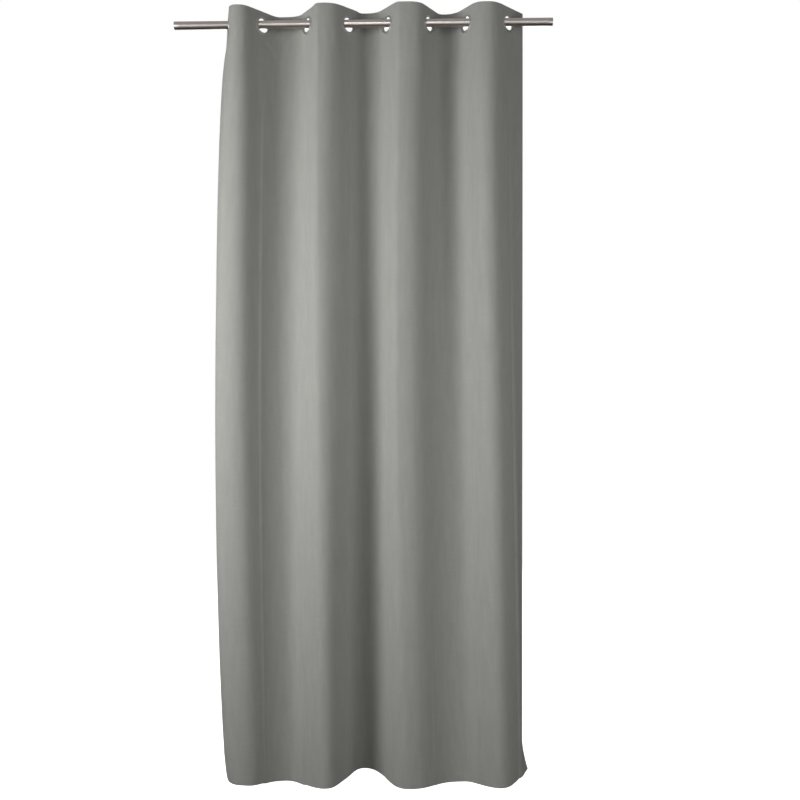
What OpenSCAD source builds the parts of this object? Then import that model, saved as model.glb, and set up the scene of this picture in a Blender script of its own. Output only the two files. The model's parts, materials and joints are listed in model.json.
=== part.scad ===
// Eyelet curtain panel hanging on its rod.
// X runs along the rod, -Y faces the room, +Z is up. The origin is on the rod's axis at its left end.
// The cloth is a row of upright leaves. Each leaf carries one eyelet and meets the next leaf at a crest,
// where a vertical fold line lets the two swing like the pleats of a bellows.

/* [Rod] */
// Length of the steel tube
rod_length = 1200; // [1150:10:1600]
// Outside diameter of the tube
rod_diameter = 25; // [19:1:25]
// Wall thickness of the tube
rod_wall = 1.2; // [0.8:0.1:2]

/* [Panel] */
// Height of the finished panel, from its top edge to its bottom edge
panel_height = 2450; // [1370:10:2600]
// Cloth beyond the first eyelet and beyond the last one, measured along the cloth
edge_margin = 76; // [60:1:90]
// Thickness of the woven cloth
cloth_t = 0.8; // [0.5:0.1:1]
// Distance from the rod's left end to the first eyelet
first_eyelet_x = 174; // [120:1:200]
// Gaps along the rod from each eyelet to the next
eyelet_gaps = [108, 142, 130, 124, 132, 118, 132];
// How far each crest stands off the rod's axis, the first towards the room, then by turns
crest_depths = [55, 42, 49, 52, 47, 54, 47];
// Angle between the rod and the flat of the cloth at each eyelet
leaf_angles = [76, 48, 52, 48, 54, 57, 56, 47];

/* [Header] */
// Height of the stiffened heading at the top
header_height = 92; // [80:1:110]
// Thickness of the stiffening band inside the heading
stiffener_t = 0.4; // [0.2:0.1:0.5]
// Distance from the top edge down to the eyelets' centres
eyelet_from_top = 54; // [45:1:60]

/* [Eyelets] */
// Clear diameter through an eyelet
eyelet_bore = 42; // [42:0.5:44]
// Outside diameter of an eyelet
eyelet_outer = 56; // [54:1:58]
// How far each half of an eyelet stands proud of the heading
eyelet_proud = 1.6; // [1.4:0.1:1.8]
// How far the eyelets' centres hang below the rod's axis
eyelet_drop = 3.5; // [0:0.5:4]

/* [Hems] */
// Height of the turned-up bottom hem
bottom_hem_height = 80; // [40:5:120]
// Width of the turned-in side hems
side_hem_width = 30; // [15:1:40]
// Width of the care label
label_width = 24; // [15:1:28]
// Height of the care label
label_height = 50; // [30:1:70]

/* [Hidden] */
$fn = 96;
leaf_count = len(eyelet_gaps) + 1;

// The cloth is the front layer, the facing is the same cloth turned over to the back, and the stiffener lies
// between them. Offsets are measured from the stiffener's middle, positive to the back.
front_face = -stiffener_t / 2 - cloth_t;
cloth_back = -stiffener_t / 2;
facing_front = stiffener_t / 2;
back_face = stiffener_t / 2 + cloth_t;
hem_back = cloth_back + cloth_t;
label_t = 0.3;

z_eyelet = -eyelet_drop;
z_top = z_eyelet + eyelet_from_top;
z_seam = z_top - header_height;
z_bottom = z_top - panel_height;
z_hem = z_bottom + bottom_hem_height;

flat_half = 30;     // the cloth stays flat this far from an eyelet's centre, because the ring holds it so
fold_trim = 1.2;    // each leaf stops this far short of its fold line, so that neighbours clear as they close
strip_gap = 0.1;    // trimmed off both ends of each flat strip, which leaves every strip a solid of its own
ply_gap = 0.02;     // left between layers that lie on each other, so that they touch without sharing space
facets = 3;         // flat strips between a ring's flat and the crest
handle_flat = 0.45; // length of the curve's handle at the flat, as a share of the distance to the crest
handle_crest = 0.55; // length of the curve's handle at the crest, the same way
barrel_t = 1.2;     // wall of the tube that joins the two halves of an eyelet
lip_r = 0.65;       // rounding of the bore's lips
rim_r = 0.65;       // rounding of the eyelets' outer edges
fit_gap = 0.1;      // clearance between an eyelet's tube and the holes in the cloth

cloth_color = [0.49, 0.495, 0.47];
inside_color = [0.8, 0.8, 0.78];
ring_color = [0.6, 0.6, 0.58];
rod_color = [0.66, 0.62, 0.59];

// ---- Plan of the cloth, seen from above ----

// Sum of the first n numbers of a list
function sum_to(list, n) = n == 0 ? 0 : list[n - 1] + sum_to(list, n - 1);

// Eyelet k's place on the rod, with k from 1
function eyelet_at(k) = [first_eyelet_x + sum_to(eyelet_gaps, k - 1), 0];

// Side of the rod that crest k is on: -1 is towards the room, 1 is behind
function crest_side(k) = k % 2 == 1 ? -1 : 1;

// Fold line k, halfway between eyelets k and k + 1
function crest_at(k) = [
    (eyelet_at(k)[0] + eyelet_at(k + 1)[0]) / 2,
    crest_side(k) * crest_depths[k - 1]
];

// Angle of leaf k's flat from +X, and its direction
function leaf_turn(k) = crest_side(k) * leaf_angles[k - 1];
function leaf_dir(k) = [cos(leaf_turn(k)), sin(leaf_turn(k))];

// A cubic curve from a to d with handles b and c, at u from 0 to 1
function cubic(a, b, c, d, u) =
    pow(1 - u, 3) * a + 3 * pow(1 - u, 2) * u * b + 3 * (1 - u) * u * u * c + pow(u, 3) * d;

// Points from the end of eyelet k's flat to crest c, where the cloth runs along the rod.
// way is 1 from the eyelet towards +X and -1 towards -X.
function to_crest(k, c, way) =
    let (
        a = eyelet_at(k) + way * flat_half * leaf_dir(k),
        d = crest_at(c),
        reach = norm(d - a)
    )
    [
        for (i = [0 : facets])
            cubic(a, a + way * handle_flat * reach * leaf_dir(k), d - [way * handle_crest * reach, 0], d, i / facets)
    ];

function reversed(list) = [for (i = [len(list) - 1 : -1 : 0]) list[i]];

// A point on leaf k's flat, s along the cloth from its eyelet
function on_flat(k, s) = eyelet_at(k) + s * leaf_dir(k);

// Plan of each leaf from left to right. Leaf 0 is the free edge with the first eyelet, leaf 1 the cloth from
// there to the first crest, and the last leaf ends in the other free edge.
function leaf_path(k) =
    k == 0 ? [on_flat(1, -edge_margin), on_flat(1, flat_half)]
    : k == 1 ? to_crest(1, 1, 1)
    : k < leaf_count ? concat(reversed(to_crest(k, k - 1, -1)), to_crest(k, k, 1))
    : concat(reversed(to_crest(k, k - 1, -1)), [on_flat(k, edge_margin)]);

// Which strip of a leaf holds its eyelet, or -1
function ring_strip(k) = k == 0 ? 0 : k == 1 ? -1 : facets;

// The eyelet that a leaf carries
function ring_of(k) = k == 0 ? 1 : k;

// Is this end of the leaf a fold line?
function left_folds(k) = k > 0;
function right_folds(k) = k > 0 && k < leaf_count;

function unit(v) = v / norm(v);
function along(path, i) = unit(path[i + 1] - path[i]);
function normal(path, i) = [-along(path, i)[1], along(path, i)[0]];

// Mitre at point i of a path: moving a point by w times this offsets both of its sides by w
function mitre(path, i) =
    i == 0 ? normal(path, 0)
    : i == len(path) - 1 ? normal(path, i - 1)
    : (normal(path, i - 1) + normal(path, i)) / (1 + normal(path, i - 1) * normal(path, i));

// The path of leaf k, cut back from its fold lines
function trimmed(k) =
    let (
        path = leaf_path(k),
        last = len(path) - 1,
        first_cut = left_folds(k) ? fold_trim : 0,
        last_cut = right_folds(k) ? fold_trim : 0
    )
    [
        for (i = [0 : last])
            i == 0 ? path[0] + first_cut * along(path, 0)
            : i == last ? path[last] - last_cut * along(path, last - 1)
            : path[i]
    ];

function offset_point(path, i, w) = path[i] + w * mitre(path, i);

// ---- Building blocks ----

// Everything between offsets w0 and w1 along a path, from height z0 to z1
module layer(path, w0, w1, z0, z1) {
    last = len(path) - 1;
    outline = concat(
        [for (i = [0 : last]) offset_point(path, i, w0)],
        [for (i = [last : -1 : 0]) offset_point(path, i, w1)]
    );
    translate([0, 0, z0])
        linear_extrude(height = z1 - z0)
            polygon(outline);
}

// One flat strip of cloth, number i along a path
module strip(path, i, z0, z1) {
    cut = strip_gap * along(path, i);
    translate([0, 0, z0])
        linear_extrude(height = z1 - z0)
            polygon([
                offset_point(path, i, front_face) + cut,
                offset_point(path, i + 1, front_face) - cut,
                offset_point(path, i + 1, cloth_back) - cut,
                offset_point(path, i, cloth_back) + cut
            ]);
}

// Puts its children on eyelet k, with their +Z towards the cloth's front
module on_eyelet(k) {
    translate([eyelet_at(k)[0], 0, z_eyelet])
        rotate([0, 0, leaf_turn(k)])
            rotate([90, 0, 0])
                children();
}

module eyelet_hole(k) {
    on_eyelet(k)
        cylinder(r = eyelet_bore / 2 + barrel_t + fit_gap, h = 20, center = true);
}

// ---- Cloth ----

// Leaf k of the cloth: upright flat strips. The strip with the eyelet is parted at the heading's seam.
module cloth_leaf(k) {
    path = trimmed(k);
    color(cloth_color)
        for (i = [0 : len(path) - 2])
            if (i == ring_strip(k)) {
                strip(path, i, z_bottom, z_seam - strip_gap);
                difference() {
                    strip(path, i, z_seam + strip_gap, z_top);
                    eyelet_hole(ring_of(k));
                }
            } else {
                strip(path, i, z_bottom, z_top);
            }
}

// The band between the cloth and its facing, which holds the heading upright
module header_stiffener(k) {
    color(inside_color)
        difference() {
            layer(trimmed(k), cloth_back + ply_gap, facing_front - ply_gap, z_seam, z_top);
            if (ring_strip(k) >= 0)
                eyelet_hole(ring_of(k));
        }
}

// The cloth turned over to the back of the heading
module header_facing(k) {
    color(cloth_color)
        difference() {
            layer(trimmed(k), facing_front, back_face, z_seam, z_top);
            if (ring_strip(k) >= 0)
                eyelet_hole(ring_of(k));
        }
}

// The bottom edge turned up at the back
module bottom_hem(k) {
    color(cloth_color)
        layer(trimmed(k), cloth_back + ply_gap, hem_back, z_bottom, z_hem);
}

// A side edge turned in at the back: s0 to s1 along the cloth from eyelet k
module side_hem(k, s0, s1) {
    color(cloth_color)
        layer(
            [on_flat(k, s0), on_flat(k, s1)],
            cloth_back + ply_gap, hem_back, z_hem + strip_gap, z_seam - strip_gap
        );
}

// A plain label sewn to the back of the right-hand hem
module care_label() {
    middle = edge_margin - side_hem_width / 2;
    color("white")
        layer(
            [on_flat(leaf_count, middle - label_width / 2), on_flat(leaf_count, middle + label_width / 2)],
            hem_back + ply_gap, hem_back + label_t, z_hem + label_height, z_hem + 2 * label_height
        );
}

// ---- Eyelets ----

// The front half: a rounded flange and the tube that goes through the heading
module eyelet_front(k) {
    bore_r = eyelet_bore / 2;
    outer_r = eyelet_outer / 2;
    z_under = -front_face + ply_gap;
    z_face = -front_face + eyelet_proud;
    z_end = -back_face - eyelet_proud;
    color(ring_color)
        on_eyelet(k)
            rotate_extrude() {
                translate([bore_r, z_end + lip_r])
                    square([barrel_t, z_face - z_end - 2 * lip_r]);
                translate([bore_r + lip_r, z_face - lip_r])
                    circle(r = lip_r, $fn = 32);
                translate([bore_r + lip_r, z_under])
                    square([outer_r - rim_r - bore_r - lip_r, z_face - z_under]);
                translate([outer_r - rim_r, z_under])
                    square([rim_r, z_face - rim_r - z_under]);
                translate([outer_r - rim_r, z_face - rim_r])
                    circle(r = rim_r, $fn = 32);
                translate([bore_r + barrel_t / 2, z_end + lip_r])
                    circle(r = barrel_t / 2, $fn = 32);
            }
}

// The back half: a plain ring that snaps over the tube
module eyelet_back(k) {
    inner_r = eyelet_bore / 2 + barrel_t + fit_gap;
    outer_r = eyelet_outer / 2;
    z_end = -back_face - eyelet_proud;
    color(ring_color)
        on_eyelet(k)
            rotate_extrude() {
                translate([inner_r, z_end])
                    square([outer_r - rim_r - inner_r, eyelet_proud - ply_gap]);
                translate([outer_r - rim_r, z_end + rim_r])
                    square([rim_r, eyelet_proud - rim_r - ply_gap]);
                translate([outer_r - rim_r, z_end + rim_r])
                    circle(r = rim_r, $fn = 32);
            }
}

// ---- Rod ----

// A straight steel tube with plain open ends
module rod() {
    color(rod_color)
        rotate([0, 90, 0])
            difference() {
                cylinder(d = rod_diameter, h = rod_length);
                translate([0, 0, -1])
                    cylinder(d = rod_diameter - 2 * rod_wall, h = rod_length + 2);
            }
}

rod();
cloth_leaf(0);  // cloth_edge
header_stiffener(0);  // stiffener_edge
header_facing(0);  // facing_edge
bottom_hem(0);  // bottom_hem_edge
side_hem(1, -edge_margin, side_hem_width - edge_margin);  // left_side_hem
side_hem(leaf_count, edge_margin - side_hem_width, edge_margin);  // right_side_hem
care_label();
for (k = [1 : leaf_count]) {
    cloth_leaf(k);
    header_stiffener(k);
    header_facing(k);
    bottom_hem(k);
    eyelet_front(k);
    eyelet_back(k);
}
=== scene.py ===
"""Eyelet curtain panel hanging in soft pleats on a straight steel rod.

The cloth is one surface P(g, z). g counts half leaves from the left edge (0) to the right edge (16):
eyelet k is at g = 2k - 1 and crest k at g = 2k. z is the height. The surface is cut into sections at the
eyelets and at the first crest, so that each section lies across one joint only.
"""

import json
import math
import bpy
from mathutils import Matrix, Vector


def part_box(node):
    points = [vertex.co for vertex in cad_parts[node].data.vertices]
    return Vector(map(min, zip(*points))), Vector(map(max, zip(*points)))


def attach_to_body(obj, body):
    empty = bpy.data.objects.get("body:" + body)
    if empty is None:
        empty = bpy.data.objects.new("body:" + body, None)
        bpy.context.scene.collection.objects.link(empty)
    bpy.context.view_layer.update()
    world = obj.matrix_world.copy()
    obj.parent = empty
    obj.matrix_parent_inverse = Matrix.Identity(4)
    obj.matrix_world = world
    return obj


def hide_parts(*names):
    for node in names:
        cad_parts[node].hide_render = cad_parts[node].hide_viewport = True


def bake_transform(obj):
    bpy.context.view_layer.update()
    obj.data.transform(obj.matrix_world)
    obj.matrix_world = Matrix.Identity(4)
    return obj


bl_info = {
    "name": "Eyelet Curtain Panel",
    "version": (1, 0, 0),
    "blender": (4, 5, 0),
    "location": "View3D > Sidebar > Curtain",
    "description": "Builds a pleated curtain panel with an eyelet heading, and the rod it hangs on",
    "category": "Add Mesh",
}

import bpy
import numpy as np

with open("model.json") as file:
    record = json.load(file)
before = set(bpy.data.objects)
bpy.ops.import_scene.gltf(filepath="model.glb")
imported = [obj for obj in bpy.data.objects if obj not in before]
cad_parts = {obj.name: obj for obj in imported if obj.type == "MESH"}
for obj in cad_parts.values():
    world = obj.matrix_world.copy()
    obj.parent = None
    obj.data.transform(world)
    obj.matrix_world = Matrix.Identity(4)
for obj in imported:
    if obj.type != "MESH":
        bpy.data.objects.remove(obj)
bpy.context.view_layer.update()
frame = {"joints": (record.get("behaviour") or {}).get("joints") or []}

JOINTS = {j["name"]: j for j in frame["joints"]}
CREST_COUNT = 7
EYELET_COUNT = CREST_COUNT + 1
LAST_G = 2 * EYELET_COUNT

# Fold lines and eyelets, from the joints: each fold line is halfway between two eyelets.
CREST_TOP = np.array([JOINTS[f"fold_{k}"]["pos_m"][:2] for k in range(1, EYELET_COUNT)])


def eyelet_places():
    """X of every eyelet: the first is the gather joint's, and each next one mirrors it in a fold line."""
    places = [JOINTS["gather"]["pos_m"][0]]
    for crest_x in CREST_TOP[:, 0]:
        places.append(2 * crest_x - places[-1])
    return np.array(places)


EYELET_X = eyelet_places()
EYELET_SIDE = np.where(np.arange(EYELET_COUNT) % 2 == 0, -1.0, 1.0)
Z_TOP = float(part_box("cloth_1")[1][2])
Z_BOTTOM = float(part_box("cloth_1")[0][2])
Z_SEAM = float(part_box("facing_1")[0][2])
Z_HEM = float(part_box("bottom_hem_1")[1][2])
Z_EYELET = float(sum(corner[2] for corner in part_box("eyelet_front_1")) / 2)
ROD_LOW, ROD_HIGH = (np.array(corner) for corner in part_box("rod"))


# ---- Sizes and colours that a user would change ----


def length(name, description, default, low=0.0, precision=4):
    return bpy.props.FloatProperty(
        name=name,
        description=description,
        default=default,
        min=low,
        max=3.0,
        precision=precision,
        unit="LENGTH",
    )


def several(name, description, default, **kind):
    return bpy.props.FloatVectorProperty(
        name=name, description=description, default=default, size=len(default), **kind
    )


def colour(name, description, default):
    return several(name, description, default, min=0.0, max=1.0, subtype="COLOR")


def lengths(name, description, default):
    return several(name, description, default, precision=4, unit="LENGTH")


def angles(name, description, default):
    return several(name, description, [math.radians(a) for a in default], unit="ROTATION")


class CurtainFolds(bpy.types.PropertyGroup):
    """How the pleats fall: their plan at the heading is the frame's, and drifts towards these at the hem"""

    heading_angles: angles(
        "Angles in the heading",
        "Angle between the rod and the cloth at each eyelet",
        (76, 48, 52, 48, 54, 57, 56, 47),
    )
    hem_angles: angles(
        "Angles at the hem",
        "Angle between the rod and the cloth under each eyelet, at the hem",
        (80, 44, 40, 62, 56, 37, 38, 56),
    )
    hem_crest_x: lengths(
        "Crests at the hem, along the rod",
        "Place of each crest along the rod, at the hem",
        (0.225, 0.351, 0.490, 0.604, 0.745, 0.912, 1.034),
    )
    hem_crest_y: lengths(
        "Crests at the hem, across the rod",
        "How far each crest stands behind the rod at the hem, less than zero towards the room",
        (-0.044, 0.020, -0.052, 0.081, -0.057, 0.012, -0.046),
    )
    middle_crest_x: lengths(
        "Sway of the crests",
        "How far each crest sways along the rod halfway down",
        (-0.020, 0.0, -0.002, 0.012, -0.016, 0.009, 0.0),
    )
    nose_shift: lengths(
        "Noses in the heading",
        "How far each crest's nose stands along the rod from its fold line, in the heading",
        (-0.014, -0.018, -0.022, -0.015, -0.022, -0.012, -0.004),
    )
    hem_lift: lengths(
        "Lift of the hem",
        "How far the hem stands above its lowest line, from the left edge over the crests to the right edge",
        (0.0, 0.0, -0.013, -0.003, 0.006, 0.0, -0.004, 0.002, 0.008),
    )
    heading_lift: lengths(
        "Lift of the top edge",
        "How far the top edge stands above its line, from the left edge over the crests to the right edge",
        (0.0, -0.010, -0.009, -0.005, 0.005, -0.003, 0.0, -0.005, 0.0),
    )
    end_lines_hem: lengths(
        "End eyelet lines at the hem",
        "Place along and across the rod under the first and under the last eyelet, at the hem",
        (0.171, 0.008, 1.096, 0.012),
    )
    edges_hem: lengths(
        "Free edges at the hem",
        "Place along and across the rod of the left and of the right edge, at the hem",
        (0.166, 0.080, 1.113, 0.083),
    )
    edge_turns_hem: angles(
        "Turns of the free edges",
        "Direction of the cloth at the left and at the right edge, at the hem",
        (-92, 62),
    )
    left_belly: length(
        "Belly of the left edge", "How far the left edge swells outwards halfway down", 0.040
    )
    left_lean: length("Lean of the left edge", "How far the left edge leans outwards below the top", 0.007)
    right_flare: length(
        "Flare of the right corner", "How far the right corner turns outwards at the hem", 0.019
    )
    edge_margin: length("Edge margin", "Cloth beyond the first and the last eyelet", 0.076)
    flat_half: length("Flat at an eyelet", "Cloth held flat on each side of an eyelet's centre", 0.030)


class CurtainCloth(bpy.types.PropertyGroup):
    """The cloth and what is sewn to it"""

    thickness: length("Cloth thickness", "Thickness of the woven cloth", 0.0008)
    band_thickness: length("Band thickness", "Thickness of the stiffening band in the heading", 0.0004)
    side_hem: length("Side hem", "Width of the side hems", 0.030)
    thread_pitch: length("Thread pitch", "Distance between two threads of the weave", 0.0009, precision=5)
    stitch_pitch: length("Stitch pitch", "Distance from one stitch to the next", 0.0034)
    stitch_length: length("Stitch length", "Length of one stitch on the surface", 0.0026)
    cloth_colour: colour("Cloth colour", "Colour of the yarn", (0.30, 0.304, 0.283))
    slub_colour: colour("Slub colour", "Colour of the thicker, paler yarns", (0.335, 0.338, 0.314))
    thread_colour: colour("Thread colour", "Colour of the sewing thread", (0.24, 0.243, 0.226))
    band_colour: colour("Band colour", "Colour of the stiffening band", (0.74, 0.74, 0.70))
    label_colour: colour("Label colour", "Colour of the label tape", (0.86, 0.86, 0.84))


class CurtainMetal(bpy.types.PropertyGroup):
    """The eyelets and the rod"""

    eyelet_bore: length("Eyelet bore", "Clear diameter through an eyelet", 0.042)
    eyelet_outer: length("Eyelet outside", "Outside diameter of an eyelet", 0.056)
    eyelet_proud: length("Eyelet height", "How far an eyelet stands proud of the cloth", 0.0016)
    eyelet_wall: length("Eyelet wall", "Wall of the tube that joins the two halves of an eyelet", 0.0012)
    rod_wall: length("Rod wall", "Wall thickness of the tube", 0.0012)
    eyelet_colour: colour("Eyelet colour", "Colour of the satin eyelets", (0.46, 0.46, 0.435))
    rod_colour: colour("Rod colour", "Colour of the brushed steel", (0.60, 0.545, 0.51))


class CurtainStage(bpy.types.PropertyGroup):
    """Floor, lights and camera"""

    floor_colour: colour("Floor colour", "Colour of the plain floor", (0.9, 0.9, 0.9))
    eye_height: length("Eye height", "Height of the camera", -1.1926, low=-3.0)
    eye_distance: length("Eye distance", "Distance from the camera to the rod", 2.75)
    eye_x: length("Eye place", "Place of the camera along the rod", 0.7839)
    half_width: length("Half width", "Half of the width seen at the rod", 1.2664)


# ---- Plan of the cloth ----

# How soon the folds leave the heading's plan, as the rate of an exponential over the drop.
DRIFT_RATE = 8
# The left edge's belly: the power of its sine, and the share of the drop in which it sets in.
BELLY_FULLNESS = 0.6
BELLY_ONSET = 0.015
# Heights over which the left edge leans and the right corner flares, and the power of the flare.
LEAN_HEIGHT = 0.12
FLARE_HEIGHT = 0.10
FLARE_POWER = 1.6
# The flat beside an eyelet line: what is left of it lower down, the share of the drop over which it shrinks,
# and the share of a half leaf's columns that it takes.
FLAT_LOW = 0.008
FLAT_FADE = 0.06
FLAT_SHARE = 0.3
# Lengths of a fold's handles at the eyelet line and at the crest, as shares of the way between them.
EYELET_HANDLE = 0.36
CREST_HANDLE = 0.38
# Lift of the top edge: height of the flat over a ring, its span in g, and how far down the lift reaches.
RING_REACH = 0.029
RING_SPAN = 0.34
LIFT_REACH = 0.5
# Width over which the layers close at a free edge, and the step in g for finding a normal.
EDGE_ROUND = 0.0012
NORMAL_STEP = 1e-3


def settings(name):
    return getattr(bpy.context.scene, name)


def drift(depth):
    """Share of the way to the hem's plan: level at the heading, then a steady drift.

    (v + (exp(-k v) - 1) / k) / (1 + (exp(-k) - 1) / k), with v from 0 at the seam to 1 at the hem.
    """
    k = DRIFT_RATE
    return (depth + (np.exp(-k * depth) - 1) / k) / (1 + (math.exp(-k) - 1) / k)


def depth_of(z):
    """0 at the heading's seam and above it, 1 at the hem."""
    return np.clip((Z_SEAM - z) / (Z_SEAM - Z_BOTTOM), 0, 1)


def between(top, low, v, middle=0.0):
    """top at the heading, low at the hem, and a sway of middle halfway down: 16 v^2 (1 - v)^2."""
    return top + (low - top) * drift(v) + middle * 16 * v**2 * (1 - v) ** 2


def direction(turn):
    return np.stack([np.cos(turn), np.sin(turn)], axis=-1)


def node_plan(z):
    """Places of the eyelet lines, crests and free edges at heights z, and the cloth's directions there.

    Returns eyelets (n, 8, 2), turns (n, 8), crests (n, 7, 2), edges (n, 2, 2), edge turns (n, 2).
    """
    folds = settings("curtain_folds")
    z = np.asarray(z, float)
    down = depth_of(z)
    v = down[:, None]
    low = np.column_stack([folds.hem_crest_x, folds.hem_crest_y])
    sway = np.column_stack([folds.middle_crest_x, np.zeros(CREST_COUNT)])
    nose = CREST_TOP + np.column_stack([folds.nose_shift, np.zeros(CREST_COUNT)])
    crests = between(nose[None], low[None], v[..., None], sway[None])
    top_turn = EYELET_SIDE * np.array(folds.heading_angles)
    low_turn = EYELET_SIDE * np.array(folds.hem_angles)
    turns = between(top_turn[None], low_turn[None], v)

    ends = [0, -1]
    eyelet_top = np.column_stack([EYELET_X, np.zeros(EYELET_COUNT)])
    eyelet_low = np.zeros((EYELET_COUNT, 2))
    eyelet_low[1:-1] = (low[:-1] + low[1:]) / 2
    eyelet_low[ends] = np.reshape(folds.end_lines_hem, (2, 2))
    eyelet_sway = np.zeros((EYELET_COUNT, 2))
    eyelet_sway[1:-1] = (sway[:-1] + sway[1:]) / 2
    eyelets = between(eyelet_top[None], eyelet_low[None], v[..., None], eyelet_sway[None])
    belly = folds.left_belly * np.sin(math.pi * down) ** BELLY_FULLNESS * (1 - np.exp(-down / BELLY_ONSET))
    eyelets[:, 0, 0] -= belly

    outwards = np.array([[-1], [1]])
    edge_top = eyelet_top[ends] + folds.edge_margin * direction(top_turn[ends]) * outwards
    edges = between(edge_top[None], np.reshape(folds.edges_hem, (1, 2, 2)), v[..., None])
    lean = np.clip((Z_TOP - z) / LEAN_HEIGHT, 0, 1)
    edges[:, 0, 0] -= belly + folds.left_lean * lean * (1 - down)
    flare = np.clip((Z_BOTTOM + FLARE_HEIGHT - z) / FLARE_HEIGHT, 0, 1)
    edges[:, 1, 0] += folds.right_flare * flare**FLARE_POWER
    edge_turns = between(top_turn[ends][None], np.array([folds.edge_turns_hem]), v)
    return eyelets, turns, crests, edges, edge_turns


def half_leaf(z, unit, q, notch):
    """Plan of half leaf number unit at heights z. q runs from its eyelet line (0) to its crest or edge (1).

    The cloth is flat near the eyelet, from the notch to flat_half. Then it is a cubic curve
    (1-u)^3 a + 3 (1-u)^2 u b + 3 (1-u) u^2 c + u^3 d, with b along the flat and c along the crest.
    z is (m,), q is (n,), notch is (m,); the result is (m, n, 2).
    """
    folds = settings("curtain_folds")
    eyelets, turns, crests, edges, edge_turns = node_plan(z)
    k = unit // 2
    way = 1.0 if unit % 2 == 1 else -1.0
    start = eyelets[:, k]
    along = direction(turns[:, k])
    if unit in (0, LAST_G - 1):
        edge = min(unit, 1)
        end, end_dir = edges[:, edge], direction(edge_turns[:, edge])
    else:
        end = crests[:, (unit - 1) // 2]
        end_dir = np.tile([1.0, 0.0], (len(z), 1))
    held = np.exp(-((depth_of(z) / FLAT_FADE) ** 2))
    flat = (FLAT_LOW + (folds.flat_half - FLAT_LOW) * held)[:, None]
    q = np.asarray(q)[None, :]
    run = notch[:, None] + (flat - notch[:, None]) * np.clip(q / FLAT_SHARE, 0, 1)
    flat_part = start[:, None] + way * run[..., None] * along[:, None]
    a = start + way * flat * along
    reach = np.linalg.norm(end - a, axis=1)[:, None]
    b = a + way * (EYELET_HANDLE * reach) * along
    c = end - way * (CREST_HANDLE * reach) * end_dir
    u = np.clip((q - FLAT_SHARE) / (1 - FLAT_SHARE), 0, 1)[..., None]
    curve = (
        (1 - u) ** 3 * a[:, None]
        + 3 * (1 - u) ** 2 * u * b[:, None]
        + 3 * (1 - u) * u**2 * c[:, None]
        + u**3 * end[:, None]
    )
    return np.where(q[..., None] <= FLAT_SHARE, flat_part, curve)


def plan(z, g, notch=None):
    """Plan (x, y) of the cloth's middle at heights z (m,) and places g (n,) of one or two half leaves."""
    z = np.asarray(z, float)
    g = np.asarray(g, float)
    notch = np.zeros(len(z)) if notch is None else notch
    unit_of = np.clip(np.floor(g), 0, LAST_G - 1).astype(int)
    whole = (g == np.floor(g)) & (g > g.min())
    unit_of[whole] = g[whole].astype(int) - 1
    points = np.zeros((len(z), len(g), 2))
    for unit in np.unique(unit_of):
        mine = unit_of == unit
        q = g[mine] - unit
        q = q if unit % 2 == 1 else 1 - q
        points[:, mine] = half_leaf(z, int(unit), q, notch)
    return points


def back_normal(z, g):
    """The cloth's normal in plan, to the back: its tangent by central differences, turned a quarter."""
    low = np.maximum(g - NORMAL_STEP, g.min())
    high = np.minimum(g + NORMAL_STEP, g.max())
    tangent = plan(z, high) - plan(z, low)
    tangent /= np.linalg.norm(tangent, axis=2, keepdims=True)
    return np.stack([-tangent[..., 1], tangent[..., 0]], axis=-1)


def lift(z, g):
    """How far the cloth is lifted at (z, g): smooth between the crests, strongest at the hem and the top."""
    folds = settings("curtain_folds")
    stops = np.array([0, *range(2, LAST_G, 2), LAST_G], float)
    at_hem = np.interp(g, stops, folds.hem_lift)
    at_top = np.interp(g, stops, folds.heading_lift)
    v = depth_of(z)[:, None]
    ring_top = Z_EYELET + RING_REACH
    over_ring = np.clip((z - ring_top) / (Z_TOP - ring_top), 0, 1)[:, None]
    near_ring = np.exp(-(((g - 2 * np.round((g - 1) / 2) - 1) / RING_SPAN) ** 4))[None, :]
    below_top = np.clip((z - Z_SEAM + LIFT_REACH) / LIFT_REACH, 0, 1)[:, None]
    by_ring = near_ring * over_ring + (1 - near_ring) * below_top**2
    return at_hem[None] * v**2 + at_top[None] * by_ring


# Soft slanted creases where the stiff heading lets the cloth go: place g, height under the seam, half length
# in g, half width, slant in metres per unit of g, and depth.
CREASES = [
    (3.35, 0.028, 0.55, 0.012, -0.055, 0.0016),
    (3.85, 0.052, 0.45, 0.010, 0.050, 0.0012),
    (4.55, 0.024, 0.40, 0.010, 0.045, 0.0010),
    (7.60, 0.034, 0.60, 0.013, -0.050, 0.0016),
    (8.40, 0.022, 0.45, 0.010, 0.040, 0.0012),
    (11.55, 0.030, 0.55, 0.012, -0.050, 0.0015),
    (12.30, 0.048, 0.40, 0.010, 0.045, 0.0011),
]


def creases(z, g):
    """Depth of the slanted creases at (z, g).

    Each is a ridge exp(-(d / w)^2) - 0.6 exp(-((d - 1.7 w) / w)^2) under a bell in g.
    """
    total = np.zeros(np.broadcast(z, g).shape)
    for place, drop, reach, wide, slant, deep in CREASES:
        across = (z - (Z_SEAM - drop) - slant * (g - place)) / wide
        bell = np.exp(-(((g - place) / reach) ** 2))
        total += deep * bell * (np.exp(-(across**2)) - 0.6 * np.exp(-((across - 1.7) ** 2)))
    return total * (z < Z_SEAM) * np.clip((Z_SEAM - z) / 0.012, 0, 1)


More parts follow.
